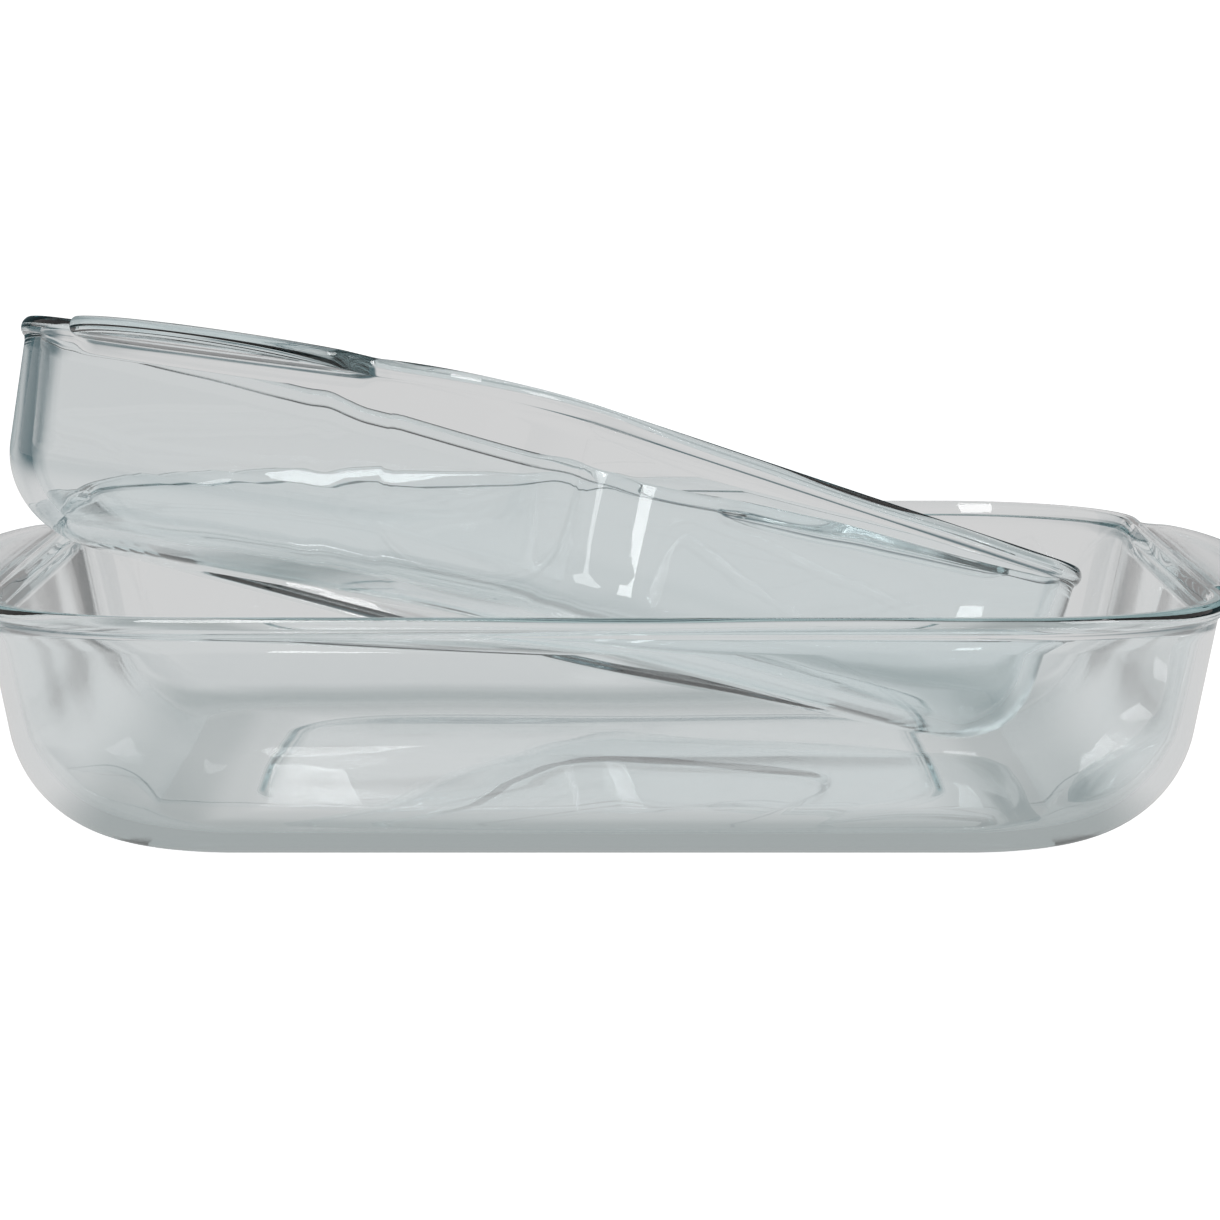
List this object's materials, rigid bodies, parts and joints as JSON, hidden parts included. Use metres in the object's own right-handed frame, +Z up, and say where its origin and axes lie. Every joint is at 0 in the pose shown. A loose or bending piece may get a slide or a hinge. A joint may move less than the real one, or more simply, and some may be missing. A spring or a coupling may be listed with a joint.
{
  "type": "glass oven pan pair",
  "caption": "Nesting rectangular glass oven pans with flared walls, rounded base edges and a wide lug handle on each short end; the smaller pan leans inside the larger one",
  "frame": {"origin": "middle of the large pan's flat resting face, on the surface it stands on", "axes": "+X along the large pan through both of its handles, +Y across it, +Z up out of its mouth"},
  "size_m": [0.394, 0.3349, 0.1482],
  "materials": {
    "clear_glass_large": "clear fire-polished pressed glass with a faint blue-green tint",
    "clear_glass_small": "clear fire-polished pressed glass with a faint blue-green tint"
  },
  "bodies": {
    "large_pan": {"large_pan": "clear_glass_large"},
    "small_pan": {"small_pan": "clear_glass_small"}
  },
  "joints": [
    {"name": "small_pan_lift", "type": "slide", "parent": "large_pan", "child": "small_pan", "axis": [0, 0, 1], "range_m": [0, 0.16]}
  ]
}
